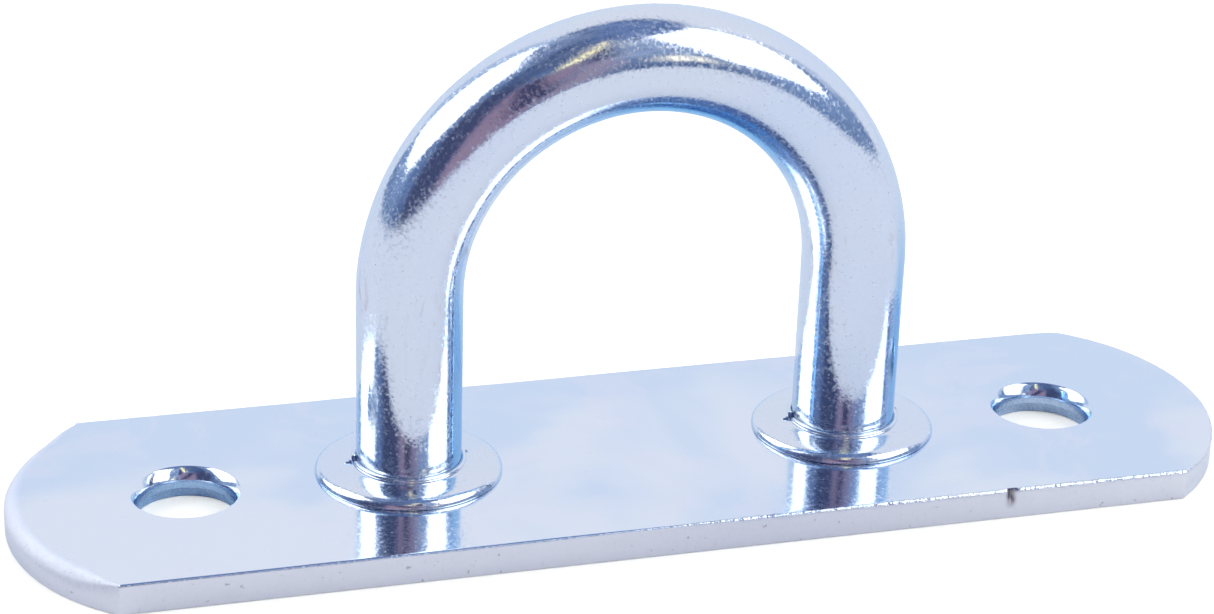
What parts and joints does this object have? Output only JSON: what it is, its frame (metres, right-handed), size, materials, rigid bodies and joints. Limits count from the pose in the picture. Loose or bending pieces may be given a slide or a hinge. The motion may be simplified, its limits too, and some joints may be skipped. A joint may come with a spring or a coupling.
{
  "type": "pad eye",
  "caption": "Zinc-plated pad eye: a half-round bow of round bar riveted through a flat, countersunk base plate, with a raised collar under each foot.",
  "frame": {"origin": "centre of the base plate's back face, which is the face that sits on the deck or wall", "axes": "+X along the plate and across the bow, +Y across the plate, +Z out of the mounting surface towards the crown of the bow"},
  "size_m": [0.0954, 0.026, 0.0384],
  "materials": {
    "zinc_plate": "bright zinc plating on rolled strip, satin, pale blue passivation",
    "zinc_bar": "bright zinc plating on drawn round bar, mirror-like with fine orange peel, pale blue passivation",
    "zinc_collar": "bright zinc plating on a pressed ring, mirror-like, pale blue passivation"
  },
  "bodies": {
    "root": {"base_plate": "zinc_plate", "bow": "zinc_bar", "left_collar": "zinc_collar", "right_collar": "zinc_collar"}
  },
  "joints": []
}
